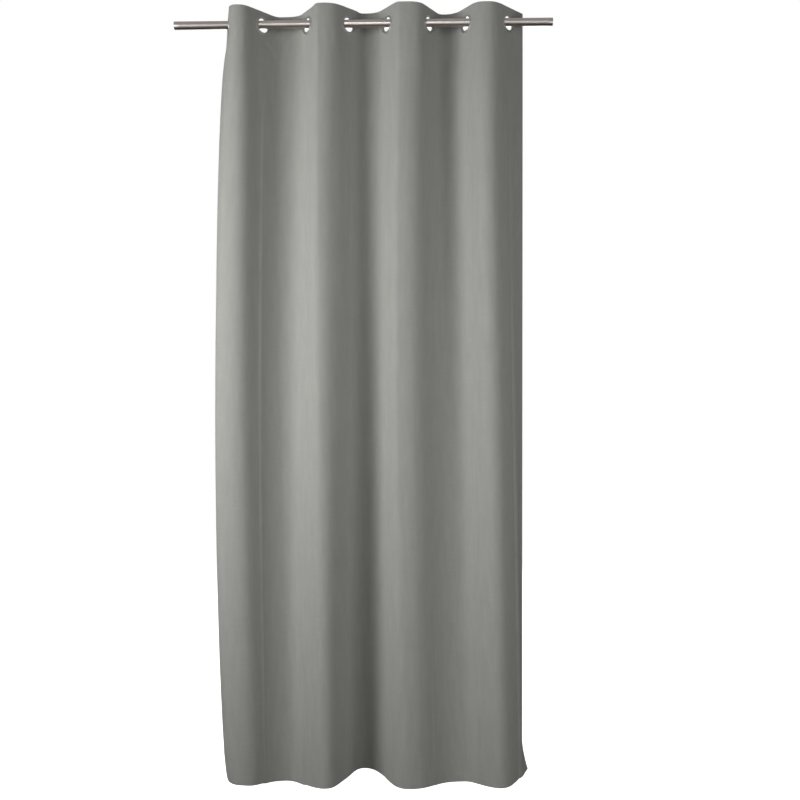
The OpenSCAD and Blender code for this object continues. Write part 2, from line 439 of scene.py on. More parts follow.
def ripple(z, g):
    """Small folds along the cloth's normal: long soft waves down the drop, and puckers at the seams.

    Waves are sums of sines in g whose phase leans slowly with height. A pucker is a short wave under a bell.
    """
    v = depth_of(z)[:, None]
    g = g[None, :]
    z = z[:, None]
    onset = np.clip(v * 5, 0, 1)
    grow = onset**2 * (3 - 2 * onset)
    soft = (
        0.0011 * np.sin(2.9 * g + 1.1 + 1.3 * v)
        + 0.0008 * np.sin(5.3 * g + 0.4 - 2.1 * v)
        + 0.0005 * np.sin(8.7 * g + 2.2 + 1.2 * np.sin(3 * v))
    )
    edge = np.clip(np.minimum(g, LAST_G - g) / 0.5, 0, 1)
    seam_bell = np.exp(-(((z - Z_SEAM + 0.004) / 0.022) ** 2))
    seam = 0.0005 * np.sin(19.0 * g + 1.4 * np.sin(3.1 * g)) * seam_bell
    hem_bell = np.exp(-(((z - Z_HEM) / 0.018) ** 2))
    hem = 0.0006 * np.sin(15.0 * g + 2.0 * np.sin(2.3 * g)) * hem_bell
    return (soft * grow + seam + hem) * edge + creases(z, g)


def surface(z, offset, g, notch, centre):
    """Points of the cloth at rows (z, offset) and columns g. offset is to the back of the heading's middle.

    P = plan + (offset + ripple) * normal. At the free edges the layers close in a round, where the offset's
    distance from centre shrinks as sqrt(1 - (1 - d)^2) over the last millimetre.
    """
    normal = back_normal(z, g)
    margin = settings("curtain_folds").edge_margin
    d = np.clip(np.minimum(g, LAST_G - g) * margin / EDGE_ROUND, 0, 1)
    closing = np.sqrt(1 - (1 - d) ** 2)[None, :]
    w = centre[:, None] + (offset - centre)[:, None] * closing + ripple(z, g)
    xy = plan(z, g, notch) + w[..., None] * normal
    heights = np.broadcast_to(z[:, None], w.shape) + lift(z, g)
    return np.concatenate([xy, heights[..., None]], axis=2)


def run_lengths(z):
    """Length of cloth from the left edge to every whole g, at heights z: (m, 17)."""
    totals = [np.zeros(len(z))]
    for unit in range(LAST_G):
        points = plan(z, np.linspace(unit, unit + 1, 25))
        step = np.linalg.norm(np.diff(points, axis=1), axis=2).sum(axis=1)
        totals.append(totals[-1] + step)
    return np.stack(totals, axis=1)


# ---- Meshes ----


def grid_faces(rows, columns, closed=False):
    """Quads of a grid of points: down, right, up. closed joins the last row and column to the first."""
    index = np.arange(rows * columns).reshape(rows, columns)
    if closed:
        index = np.pad(index, (0, 1), mode="wrap")
    corners = [index[:-1, :-1], index[1:, :-1], index[1:, 1:], index[:-1, 1:]]
    return np.stack([corner.ravel() for corner in corners], axis=1)


def new_piece(name, points, faces, material, uv=None, sharp_rim=False):
    """An object at the origin from points (n, 3) and a list of faces, with one UV per point."""
    mesh = bpy.data.meshes.new(name)
    mesh.from_pydata(np.asarray(points).reshape(-1, 3).tolist(), [], list(map(tuple, faces)))
    mesh.polygons.foreach_set("use_smooth", np.ones(len(mesh.polygons), bool))
    corner_points = np.zeros(len(mesh.loops), int)
    mesh.loops.foreach_get("vertex_index", corner_points)
    if uv is not None:
        layer = mesh.uv_layers.new(name="Run")
        layer.data.foreach_set("uv", np.asarray(uv, np.float32).reshape(-1, 2)[corner_points].ravel())
    if sharp_rim:
        corner_edges = np.zeros(len(mesh.loops), int)
        mesh.loops.foreach_get("edge_index", corner_edges)
        rim = np.bincount(corner_edges, minlength=len(mesh.edges)) == 1
        mesh.edges.foreach_set("use_edge_sharp", rim)
    mesh.materials.append(material)
    mesh.update()
    piece = bpy.data.objects.new(name, mesh)
    bpy.context.scene.collection.objects.link(piece)
    return piece


def thicken(piece, thickness):
    """Gives a sheet its thickness, half to each side."""
    wall = piece.modifiers.new("Thickness", "SOLIDIFY")
    wall.thickness = thickness
    wall.offset = 0
    wall.use_rim = True


def revolve(profile, segments):
    """A profile (r, h) turned about its axis: (r cos t, r sin t, h), profile by rows and t by columns."""
    turn = np.linspace(0, 2 * math.pi, segments + 1)[:-1]
    r, h = profile[:, :1], profile[:, 1:]
    return np.stack([r * np.cos(turn), r * np.sin(turn), h + 0 * turn], axis=-1)


def arc(centre, radius, start, stop, count):
    """Points of a circle's arc, from start to stop degrees."""
    turn = np.radians(np.linspace(start, stop, count))
    return np.column_stack([centre[0] + radius * np.cos(turn), centre[1] + radius * np.sin(turn)])


# ---- Materials ----


class Nodes:
    """A node tree, with short calls to add nodes"""

    def __init__(self, tree):
        self.tree = tree

    def link(self, a, b):
        self.tree.links.new(a, b)

    def node(self, kind, **values):
        made = self.tree.nodes.new(kind)
        for key, value in values.items():
            setattr(made, key, value)
        return made

    def put(self, socket, value):
        """Links a socket to another one, or sets its value."""
        if isinstance(value, bpy.types.NodeSocket):
            self.link(value, socket)
        else:
            socket.default_value = value

    def feed(self, made, **values):
        """Puts values in a node's inputs by name, with an underscore for each space."""
        for key, value in values.items():
            self.put(made.inputs[key.replace("_", " ")], value)

    def split(self, vector):
        made = self.node("ShaderNodeSeparateXYZ")
        self.link(vector, made.inputs[0])
        return made.outputs

    def maths(self, operation, a, b=0.0):
        made = self.node("ShaderNodeMath", operation=operation)
        self.put(made.inputs[0], a)
        self.put(made.inputs[1], b)
        return made.outputs[0]

    def remap(self, value, low, high, to_low, to_high):
        made = self.node("ShaderNodeMapRange")
        self.feed(made, From_Min=low, From_Max=high, To_Min=to_low, To_Max=to_high, Value=value)
        return made.outputs["Result"]


class Shader(Nodes):
    """A material with one principled surface"""

    def __init__(self, name):
        self.material = bpy.data.materials.new(name)
        self.material.use_nodes = True
        super().__init__(self.material.node_tree)
        self.tree.nodes.clear()
        self.surface = self.node("ShaderNodeBsdfPrincipled")
        output = self.node("ShaderNodeOutputMaterial")
        self.link(self.surface.outputs["BSDF"], output.inputs["Surface"])

    def run(self):
        """The piece's own run, in metres."""
        return self.node("ShaderNodeUVMap", uv_map="Run").outputs["UV"]

    def weighted(self, a, share_a, b, share_b):
        return self.maths("ADD", self.maths("MULTIPLY", a, share_a), self.maths("MULTIPLY", b, share_b))

    def noise(self, vector, stretch, detail, roughness=0.5):
        """Noise whose grain is 1 / stretch metres long each way."""
        mapping = self.node("ShaderNodeMapping")
        self.feed(mapping, Vector=vector, Scale=stretch)
        made = self.node("ShaderNodeTexNoise")
        self.feed(made, Vector=mapping.outputs["Vector"], Scale=1.0, Detail=detail, Roughness=roughness)
        return made.outputs["Fac"]

    def mix(self, share, a, b):
        made = self.node("ShaderNodeMix", data_type="RGBA")
        self.feed(made, Factor=share, A=a, B=b)
        return made.outputs["Result"]

    def two_tone(self, pattern, low, high, dark, pale):
        """Base colour from dark to pale, as the pattern goes from low to high."""
        share = self.remap(pattern, low, high, 0.0, 1.0)
        self.link(self.mix(share, dark, pale), self.surface.inputs["Base Color"])

    def bump(self, height, distance, strength):
        made = self.node("ShaderNodeBump")
        self.feed(made, Strength=strength, Distance=distance, Height=height)
        self.link(made.outputs["Normal"], self.surface.inputs["Normal"])


def rgba(values, scale=1.0):
    return (*[min(1.0, c * scale) for c in values], 1.0)


def weave(shader, run, pitch):
    """Height of a plain weave over the cloth's own run, 0 to 1.

    Warp is |sin(pi u / p)| and weft |sin(pi v / p)|. The one on top changes from crossing to crossing,
    as the sign of sin(pi u / p) sin(pi v / p) does.
    """
    place = shader.split(run)
    warp, weft = (
        shader.maths("SINE", shader.maths("MULTIPLY", place[axis], math.pi / pitch)) for axis in ("X", "Y")
    )
    warp_on_top = shader.maths("GREATER_THAN", shader.maths("MULTIPLY", warp, weft), 0.0)
    weft_on_top = shader.maths("SUBTRACT", 1.0, warp_on_top)
    return shader.weighted(
        shader.maths("ABSOLUTE", warp), warp_on_top, shader.maths("ABSOLUTE", weft), weft_on_top
    )


def cloth_finish():
    """Matt plain weave with slightly uneven yarns, a soft sheen, a little mottling, and painted shade in the
    hollows between the yarns.
    """
    cloth = settings("curtain_cloth")
    shader = Shader("grey_green_weave")
    run = shader.run()
    height = weave(shader, run, cloth.thread_pitch)
    warp_slub = shader.noise(run, (620.0, 16.0, 1.0), 3.0, 0.6)
    weft_slub = shader.noise(run, (14.0, 540.0, 1.0), 3.0, 0.6)
    broad = shader.noise(run, (60.0, 9.0, 1.0), 3.0, 0.55)
    slub = shader.weighted(warp_slub, 0.5, weft_slub, 0.5)
    tone = shader.remap(shader.weighted(slub, 0.65, broad, 0.35), 0.36, 0.64, 0.0, 1.0)
    yarn = shader.mix(tone, rgba(cloth.cloth_colour, 0.93), rgba(cloth.slub_colour))
    # Painted shade: the yarn darkens towards 0.55 of the cloth colour where the weave is low, in the hollows
    # between the yarns.
    painted_shade_between_yarns = shader.remap(height, 0.0, 0.75, 0.55, 0.0)
    yarn_with_painted_shade = shader.mix(painted_shade_between_yarns, yarn, rgba(cloth.cloth_colour, 0.55))
    shader.link(yarn_with_painted_shade, shader.surface.inputs["Base Color"])
    shader.link(shader.remap(slub, 0.3, 0.7, 0.86, 0.98), shader.surface.inputs["Roughness"])
    shader.surface.inputs["Specular IOR Level"].default_value = 0.18
    shader.surface.inputs["Sheen Weight"].default_value = 0.18
    shader.surface.inputs["Sheen Roughness"].default_value = 0.5
    shader.surface.inputs["Sheen Tint"].default_value = (0.9, 0.9, 0.86, 1.0)
    shader.bump(shader.weighted(height, 0.6, slub, 0.9), 0.00022, 0.8)
    return shader.material


def thread_finish():
    """Twisted sewing thread: fine slanted ribs along the stitch."""
    thread = settings("curtain_cloth").thread_colour
    shader = Shader("sewing_thread")
    place = shader.node("ShaderNodeTexCoord").outputs["Object"]
    ribs = shader.noise(place, (3800.0, 3800.0, 3800.0), 1.0)
    shader.two_tone(ribs, 0.35, 0.65, rgba(thread, 0.85), rgba(thread, 1.2))
    shader.surface.inputs["Roughness"].default_value = 0.7
    shader.bump(ribs, 0.00006, 0.6)
    return shader.material


def band_finish():
    """Pressed non-woven band: short fibres in every direction."""
    band = settings("curtain_cloth").band_colour
    shader = Shader("nonwoven_band")
    fibres = shader.noise(shader.run(), (900.0, 420.0, 1.0), 4.0, 0.65)
    shader.two_tone(fibres, 0.3, 0.7, rgba(band, 0.86), rgba(band))
    shader.surface.inputs["Roughness"].default_value = 0.9
    shader.bump(fibres, 0.00012, 0.6)
    return shader.material


def label_finish():
    """White woven tape: a plain weave of fine threads, with painted shade in the hollows between them."""
    tape = settings("curtain_cloth").label_colour
    shader = Shader("woven_tape")
    height = weave(shader, shader.run(), LABEL_THREAD_PITCH)
    # Painted shade: the tape darkens to 0.82 of its colour where the weave is low, between the threads.
    shader.two_tone(height, 0.0, 1.0, rgba(tape, 0.82), rgba(tape))
    shader.surface.inputs["Roughness"].default_value = 0.55
    shader.surface.inputs["Sheen Weight"].default_value = 0.2
    shader.bump(height, 0.00006, 0.6)
    return shader.material


def eyelet_finish():
    """Satin plated eyelet: soft brushed streaks round the ring and faint handling marks."""
    plate = settings("curtain_metal").eyelet_colour
    shader = Shader("satin_eyelet")
    run = shader.run()
    streaks = shader.noise(run, (30.0, 5200.0, 1.0), 3.0, 0.6)
    marks = shader.noise(run, (120.0, 120.0, 1.0), 4.0, 0.6)
    shader.two_tone(streaks, 0.3, 0.7, rgba(plate, 0.9), rgba(plate, 1.06))
    shader.surface.inputs["Metallic"].default_value = 0.85
    shader.link(shader.remap(marks, 0.3, 0.7, 0.30, 0.44), shader.surface.inputs["Roughness"])
    shader.bump(streaks, 0.00002, 0.35)
    return shader.material


def rod_finish():
    """Brushed steel tube: long fine streaks along the tube, and broad soft tarnish."""
    steel = settings("curtain_metal").rod_colour
    shader = Shader("brushed_rod_steel")
    run = shader.run()
    streaks = shader.noise(run, (9.0, 2600.0, 1.0), 4.0, 0.6)
    broad = shader.noise(run, (7.0, 40.0, 1.0), 2.0)
    tone = shader.weighted(streaks, 0.6, broad, 0.4)
    shader.two_tone(tone, 0.35, 0.65, rgba(steel, 0.88), rgba(steel, 1.08))
    shader.surface.inputs["Metallic"].default_value = 1.0
    shader.link(shader.remap(streaks, 0.3, 0.7, 0.29, 0.41), shader.surface.inputs["Roughness"])
    shader.bump(streaks, 0.00002, 0.4)
    return shader.material


def finish(make, name):
    """The finish of that name, made the first time it is asked for."""
    return bpy.data.materials.get(name) or make()


# ---- Sections of the cloth ----

# Gaps between an eyelet's tube and the holes of the cloth and of the band.
CLOTH_GAP = 0.0003
BAND_GAP = 0.0006
# Share of the cloth's or the band's thickness that a layer is made with, so that no two layers touch.
CLOTH_LAYER = 0.96
HEM_LAYER = 0.94
BAND_LAYER = 0.75
# Gaps at a side hem's ends and under it, and at the band's lower edge, upper edge and ends (in g).
SIDE_HEM_GAP = 0.0006
LAYER_GAP = 0.00002
BAND_LOW = 0.0005
BAND_HIGH = 0.0012
BAND_END = 0.02
# Rounding of the hem's fold, and a free edge's last columns, in metres from the edge.
HEM_ROUND = 0.002
EDGE_STEPS = np.array([0.003, 0.0018, 0.0012, 0.0008, 0.0004, 0.00015, 0.00004, 0.0])
# Stitches: their offsets on the front, on the facing's back and on a hem's back, how far they are in from an
# edge, and their half thickness as a share of the cloth's.
FRONT_STITCH = -0.0010
FACING_STITCH = 0.0010
HEM_STITCH = 0.0006
SEAM_INSET = 0.003
HEM_INSET = 0.002
STITCH_THICKNESS = 0.32
# The label: its tape, its threads, its thickness, its offset over the side hem, and how far it curls off.
LABEL_WIDTH = 0.024
LABEL_LENGTH = 0.050
LABEL_THREAD_PITCH = 0.00035
LABEL_THICKNESS = 0.00025
LABEL_OFFSET = 0.0008
LABEL_CURL = 0.0035

# Each section: its name, its span of g, the bodies on its left and right, and the leaves it stands for.
SECTIONS = [
    ("edge_left", 0, 1, "lead_edge", "lead_edge", ["edge"]),
    ("leaf_1", 1, 2, "lead_edge", "leaf_1", ["1"]),
    ("pleat_1", 2, 3, "leaf_1", "leaf_2", ["1", "2"]),
    *[
        (f"pleat_{k}", 2 * k - 1, 2 * k + 1, f"leaf_{k}", f"leaf_{k + 1}", [str(k), str(k + 1)])
        for k in range(2, EYELET_COUNT)
    ],
    ("edge_right", LAST_G - 1, LAST_G, f"leaf_{EYELET_COUNT}", f"leaf_{EYELET_COUNT}", [str(EYELET_COUNT)]),
]


def attach(piece, section):
    """Lets a piece of a section ride on its body when its left and right bodies are the same; otherwise only
    bakes its transform.
    """
    name, g0, _, left, right, _ = section
    if left == right:
        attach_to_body(piece, left)
        return
    if name == "leaf_1":
        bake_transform(piece)
        return
    if name == "pleat_1":
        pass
    else:
        low = node_plan(np.array([Z_BOTTOM]))[0][0]
    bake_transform(piece)


def columns(g0, g1):
    """Places g of a section's columns: closer together in the curves, and closest at a free edge."""
    flat = np.linspace(0, FLAT_SHARE, 8)[:-1]
    spans = []
    for unit in range(g0, g1):
        q = np.concatenate([flat, np.linspace(FLAT_SHARE, 1, 25)])
        if unit in (0, LAST_G - 1):
            close = 1 - EDGE_STEPS / settings("curtain_folds").edge_margin
            q = np.concatenate([flat, np.linspace(FLAT_SHARE, close[0], 16)[:-1], close])
        spans.append(unit + (q if unit % 2 == 1 else 1 - q[::-1]))
    return np.unique(np.round(np.concatenate(spans), 9))


def hole_rows(z_low, z_high, radius):
    """Heights from z_low up to z_high that follow an eyelet's hole: centre + radius cos(t) across it."""
    turn = np.linspace(math.pi, 0, 27)
    below = np.linspace(z_low, Z_EYELET - radius, 6)[:-1]
    above = np.linspace(Z_EYELET + radius, z_high, 7)[1:]
    return np.concatenate([below, Z_EYELET + radius * np.cos(turn), above])


def hole_radius(gap):
    """Radius of a hole that clears an eyelet's tube by the gap."""
    metal = settings("curtain_metal")
    return metal.eyelet_bore / 2 + metal.eyelet_wall + gap


def notch_at(z, radius):
    """Half width of an eyelet's hole at height z: sqrt(r^2 - (z - centre)^2), or nothing."""
    return np.sqrt(np.clip(radius**2 - (z - Z_EYELET) ** 2, 0, None))


def fold_over():
    """Rows of the cloth: from the facing's lower edge up the back, down the front and round the hem.

    Returns heights, offsets, hole widths, layer centres and the run of the cloth along the rows.
    """
    cloth = settings("curtain_cloth")
    t, stiff = cloth.thickness, cloth.band_thickness
    front, facing, hem = -(stiff + t) / 2, (stiff + t) / 2, -stiff / 2 + t / 2
    radius = hole_radius(CLOTH_GAP)
    back = hole_rows(Z_SEAM, Z_TOP - facing, radius)
    over = arc((0.0, Z_TOP - facing), facing, 0, 180, 9)[1:-1]
    spacing = [np.linspace(0, 0.02, 9)[1:], np.linspace(0.02, 0.965, 225)[1:], np.linspace(0.965, 1, 12)[1:]]
    body = Z_SEAM - (Z_SEAM - Z_BOTTOM - HEM_ROUND) * np.concatenate(spacing)
    fold = (hem - front) / 2
    middle = (hem + front) / 2
    under = arc((middle, Z_BOTTOM + fold), fold, 180, 360, 9)
    up = np.linspace(Z_BOTTOM + fold, Z_HEM, 12)[1:]
    z = np.concatenate([back, over[:, 1], back[::-1], body, under[:, 1], up])
    on_front = np.full(len(back) + len(body), front)
    offset = np.concatenate(
        [np.full(len(back), facing), over[:, 0], on_front, under[:, 0], np.full(len(up), hem)]
    )
    in_heading = np.arange(len(z)) < 2 * len(back) + len(over)
    notch = np.where(in_heading, notch_at(z, radius), 0.0)
    centre = np.where(in_heading, 0.0, middle)
    run = np.concatenate([[0.0], np.cumsum(np.hypot(np.diff(z), np.diff(offset)))])
    return z, offset, notch, centre, run


def section_run(z, g, g0, points):
    """The cloth's own coordinate across: length from the left edge, at each row."""
    before = run_lengths(z)[:, g0]
    step = np.linalg.norm(np.diff(points[..., :2], axis=1), axis=2)
    return before[:, None] + np.concatenate([np.zeros((len(z), 1)), np.cumsum(step, axis=1)], axis=1)


# The finish of each slot that holds sheets, and its material's name.
SHEET_FINISHES = {
    "cloth": (cloth_finish, "grey_green_weave"),
    "stiffener": (band_finish, "nonwoven_band"),
    "label": (label_finish, "woven_tape"),
}


def sheet_piece(name, section, shape, run, thickness, slot, nodes, flat, flip=False):
    """A thin piece of a section from its shape (rows z, columns g, points), with its own run as UV.

    flat is its width and length laid flat; a width of None is the mean width along the cloth. It is not used
    further.
    """
    z, g, points = shape
    across = section_run(z, g, section[1], points)
    uv = np.stack([across, np.broadcast_to(run[:, None], across.shape)], axis=-1)
    faces = grid_faces(len(z), len(g))
    faces = faces[:, ::-1] if flip else faces
    piece = new_piece(name, points, faces, finish(*SHEET_FINISHES[slot]), uv, sharp_rim=True)
    thicken(piece, thickness)
    attach(piece, section)
    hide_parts(*nodes)
    wide, tall = flat
    wide = round(float(np.mean(across[:, -1] - across[:, 0])), 3) if wide is None else wide


def cloth_piece(section):
    """One section of the cloth, turned over at the top and the bottom, with half holes at its eyelets."""
    name, g0, g1, _, _, leaves = section
    z, offset, notch, centre, run = fold_over()
    g = columns(g0, g1)
    shape = z, g, surface(z, offset, g, notch, centre)
    nodes = [f"{kind}_{leaf}" for kind in ("cloth", "facing", "bottom_hem") for leaf in leaves]
    thickness = settings("curtain_cloth").thickness * CLOTH_LAYER
    flat = (None, round(float(run[-1]), 3))
    sheet_piece(f"cloth_{name}", section, shape, run, thickness, "cloth", nodes, flat)


def band_piece(section):
    """The stiffening band inside the heading of one section."""
    name, g0, g1, _, _, leaves = section
    radius = hole_radius(BAND_GAP)
    z = hole_rows(Z_SEAM + BAND_LOW, Z_TOP - BAND_HIGH, radius)
    g = np.unique(np.clip(columns(g0, g1), BAND_END, LAST_G - BAND_END))
    zero = np.zeros(len(z))
    shape = z, g, surface(z, zero, g, notch_at(z, radius), zero)
    nodes = [f"stiffener_{leaf}" for leaf in leaves]
    thickness = settings("curtain_cloth").band_thickness * BAND_LAYER
    flat = (None, round(float(z[-1] - z[0]), 3))
    sheet_piece(f"band_{name}", section, shape, z, thickness, "stiffener", nodes, flat)


def stitch_shape(long, thick):
    """One stitch as a closed grain with six sides: radius thick * cos(b)^0.7 at long / 2 * sin(b)."""
    sides = 6
    b = np.radians([-50.0, -18.0, 18.0, 50.0])
    turn = np.linspace(0, 2 * math.pi, sides + 1)[:-1]
    r = thick * np.cos(b) ** 0.7
    along = np.repeat(long / 2 * np.sin(b), sides)
    rings = np.column_stack([along, np.outer(r, np.cos(turn)).ravel(), np.outer(r, np.sin(turn)).ravel()])
    points = np.vstack([rings, [[-long / 2, 0, 0], [long / 2, 0, 0]]])
    index = np.arange(len(rings)).reshape(len(b), sides)
    beside = np.roll(index, -1, axis=1)
    corners = [index[:-1], beside[:-1], beside[1:], index[1:]]
    quads = np.stack([corner.ravel() for corner in corners], axis=1)
    low = np.column_stack([np.full(sides, len(rings)), beside[0], index[0]])
    high = np.column_stack([np.full(sides, len(rings) + 1), index[-1], beside[-1]])
    return points, quads, np.vstack([low, high])


def place_stitches(centres, tangents, normals, long, thick):
    """Copies of a stitch at centres, with its length along tangents: p = c + x t + y n + z (t x n)."""
    points, quads, triangles = stitch_shape(long, thick)
    axes = np.stack([tangents, normals, np.cross(tangents, normals)], axis=1)
    made = centres[:, None] + points @ axes
    shift = (np.arange(len(centres)) * len(points))[:, None, None]
    quads, triangles = quads[None] + shift, triangles[None] + shift
    return made.reshape(-1, 3), quads.reshape(-1, 4), triangles.reshape(-1, 3)


def level_stitches(g0, g1, z, offsets, pitch):
    """Centres, tangents and normals of a level row of stitches on each of the given offsets."""
    g = np.linspace(g0, g1, 160)
    row = np.array([z])
    middle = plan(row, g)[0]
    length_at = np.concatenate([[0.0], np.cumsum(np.linalg.norm(np.diff(middle, axis=0), axis=1))])
    g_at = np.interp(np.arange(pitch / 2, length_at[-1], pitch), length_at, g)
    g_at = np.unique(np.clip(g_at, g0 + 1e-6, g1 - 1e-6))
    found = []
    for offset in offsets:
        flat = np.array([offset])
        points = surface(row, flat, g_at, np.zeros(1), flat)[0]
        normal = back_normal(row, g_at)[0]
        normals = np.column_stack([normal, np.zeros(len(g_at))])
        tangents = np.column_stack([normal[:, 1], -normal[:, 0], np.zeros(len(g_at))])
        found.append((points, tangents, normals))
    return [np.concatenate(parts) for parts in zip(*found)]


def upright_stitches(g, z_low, z_high, offsets, pitch):
    """Centres, tangents and normals of an upright row of stitches beside a free edge."""
    z = np.arange(z_low + pitch / 2, z_high, pitch)
    place = np.array([g - NORMAL_STEP, g, g + NORMAL_STEP])
    found = []
    for offset in offsets:
        flat = np.full(len(z), offset)
        points = surface(z, flat, place, np.zeros(len(z)), flat)[:, 1]
        normal = back_normal(z, place)[:, 1]
        normals = np.column_stack([normal, np.zeros(len(z))])
        tangents = np.gradient(points, axis=0)
        tangents /= np.linalg.norm(tangents, axis=1, keepdims=True)
        found.append((points, tangents, normals))
    return [np.concatenate(parts) for parts in zip(*found)]


def stitch_piece(section):
    """The sewing of one section: the heading's seam, the bottom hem, and the side hem at a free edge."""
    name, g0, g1, _, _, _ = section
    cloth = settings("curtain_cloth")
    pitch = cloth.stitch_pitch
    rows = [
        level_stitches(g0, g1, Z_SEAM + SEAM_INSET, (FRONT_STITCH, FACING_STITCH), pitch),
        level_stitches(g0, g1, Z_HEM - HEM_INSET, (FRONT_STITCH, HEM_STITCH), pitch),
    ]
    if name in ("edge_left", "edge_right"):
        share = (cloth.side_hem - HEM_INSET) / settings("curtain_folds").edge_margin
        place = share if name == "edge_left" else LAST_G - share
        rows.append(upright_stitches(place, Z_HEM, Z_SEAM, (FRONT_STITCH, HEM_STITCH), pitch))
    centres, tangents, normals = (np.concatenate(parts) for parts in zip(*rows))
    thick = cloth.thickness * STITCH_THICKNESS
    points, quads, triangles = place_stitches(centres, tangents, normals, cloth.stitch_length, thick)
    thread = finish(thread_finish, "sewing_thread")
    piece = new_piece(f"stitches_{name}", points, [*quads, *triangles], thread)
    attach(piece, section)


def hem_piece(name, section, g_from, g_to, node):
    """A side hem: the cloth's edge turned in at the back, closed on the front layer at the free edge."""
    cloth = settings("curtain_cloth")
    z = np.linspace(Z_HEM + SIDE_HEM_GAP, Z_SEAM - SIDE_HEM_GAP, 240)[::-1]
    g = np.unique(np.clip(columns(section[1], section[2]), g_from, g_to))
    front_back = np.full(len(z), -cloth.band_thickness / 2)
    offset = front_back + cloth.thickness / 2 + LAYER_GAP
    shape = z, g, surface(z, offset, g, np.zeros(len(z)), front_back)
    thickness = cloth.thickness * HEM_LAYER
    flat = (cloth.side_hem, round(float(z[0] - z[-1]), 3))
    sheet_piece(name, section, shape, z, thickness, "cloth", [node], flat, flip=True)


# ---- Operators ----


class CURTAIN_OT_cloth(bpy.types.Operator):
    """Builds the cloth: ten sections of one folded sheet, and its side hems"""

    bl_idname = "curtain.cloth"
    bl_label = "Cloth and Hems"

    def execute(self, context):
        for section in SECTIONS:
            cloth_piece(section)
        share = settings("curtain_cloth").side_hem / settings("curtain_folds").edge_margin
        hem_piece("side_hem_cloth_left", SECTIONS[0], 0.0, share, "left_side_hem")
        hem_piece("side_hem_cloth_right", SECTIONS[-1], LAST_G - share, LAST_G, "right_side_hem")
        return {"FINISHED"}


class CURTAIN_OT_band(bpy.types.Operator):
    """Builds the stiffening band inside the heading"""

    bl_idname = "curtain.band"
    bl_label = "Heading Band"

    def execute(self, context):
        for section in SECTIONS:
            band_piece(section)
        return {"FINISHED"}


class CURTAIN_OT_stitches(bpy.types.Operator):
    """Sews the heading's seam and the hems"""

    bl_idname = "curtain.stitches"
    bl_label = "Stitches"

    def execute(self, context):
        for section in SECTIONS:
            stitch_piece(section)
        return {"FINISHED"}


class CURTAIN_OT_label(bpy.types.Operator):
    """Builds the blank care label on the back of the right side hem"""

    bl_idname = "curtain.label"
    bl_label = "Care Label"

    def execute(self, context):
        low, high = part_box("care_label")
        margin = settings("curtain_folds").edge_margin
        middle = LAST_G - settings("curtain_cloth").side_hem / 2 / margin
        half = LABEL_WIDTH / 2 / margin
        g = np.linspace(middle - half, middle + half, 13)
        z = np.linspace(high[2], low[2], 25)
        offset = LABEL_OFFSET + LABEL_CURL * np.linspace(0, 1, len(z)) ** 2
        shape = z, g, surface(z, offset, g, np.zeros(len(z)), offset)
        flat = (LABEL_WIDTH, LABEL_LENGTH)
        sheet_piece(
            "label_tape", SECTIONS[-1], shape, z, LABEL_THICKNESS, "label", ["care_label"], flat, True
        )
        return {"FINISHED"}


# Facets round a ring and round the rod.
RING_SEGMENTS = 96


def front_profile(metal, cloth):
    """Section of an eyelet's front half, closed: lip, dome, rim, underside, tube, curled end and bore.

    The dome is h = top - fall s^2, with s from 0 at the lip to 1 at the rim. h is towards the room.
    """
    lip_radius, rim_radius, fall = 0.0011, 0.0006, 0.00075
    bevel, fillet, gap = 0.0003, 0.0004, 0.0001
    bore, outer, wall = metal.eyelet_bore / 2, metal.eyelet_outer / 2, metal.eyelet_wall
    face = cloth.band_thickness / 2 + cloth.thickness
    top = face + metal.eyelet_proud
    end = gap - top + wall / 2
    lip = arc((bore + lip_radius, top - lip_radius), lip_radius, 180, 90, 8)
    s = np.linspace(0, 1, 14)[1:]
    r = bore + lip_radius + (outer - rim_radius - bore - lip_radius) * s
    dome = np.column_stack([r, top - fall * s**2])
    rim = arc((outer - rim_radius, top - fall - rim_radius), rim_radius, 90, 0, 6)[1:]
    under = [
        [outer, face + 0.00006],
        [outer - bevel, face],
        [bore + wall + fillet, face],
        [bore + wall, face - fillet],
    ]
    outside = np.column_stack([np.full(6, bore + wall), np.linspace(face - 0.0006, end, 6)])
    curl = arc((bore + wall / 2, end), wall / 2, 0, -180, 8)[1:]
    inside = np.column_stack([np.full(5, bore), np.linspace(end, top - lip_radius, 7)[1:-1]])
    return np.vstack([lip, dome, rim, under, outside, curl, inside])


def back_profile(metal, cloth):
    """Section of an eyelet's back half, closed: a flat ring with rounded edges. h is towards the room."""
    rim_radius, corner_radius, bevel, gap = 0.0007, 0.0003, 0.0002, 0.0001
    inner, outer = metal.eyelet_bore / 2 + metal.eyelet_wall + gap, metal.eyelet_outer / 2
    face = -cloth.band_thickness / 2 - cloth.thickness
    low = face - metal.eyelet_proud
    s = np.linspace(0, 1, 8)
    upper = np.column_stack([outer - bevel - (outer - bevel - inner) * s, np.full(len(s), face)])
    bottom_start, bottom_end = inner + corner_radius, outer - rim_radius - gap
    bottom_r = bottom_start + (bottom_end - bottom_start) * s
    bottom = np.column_stack([bottom_r, low + 0.0005 * (s - 0.35) ** 2])
    rim = arc((outer - rim_radius, low + 0.0009), rim_radius, -90, 0, 6)[1:]
    corner = arc((bottom_start, low + 0.0004), corner_radius, 180, 270, 4)[:-1]
    return np.vstack([upper, [[inner, face - 0.0005]], corner, bottom, rim])[::-1]


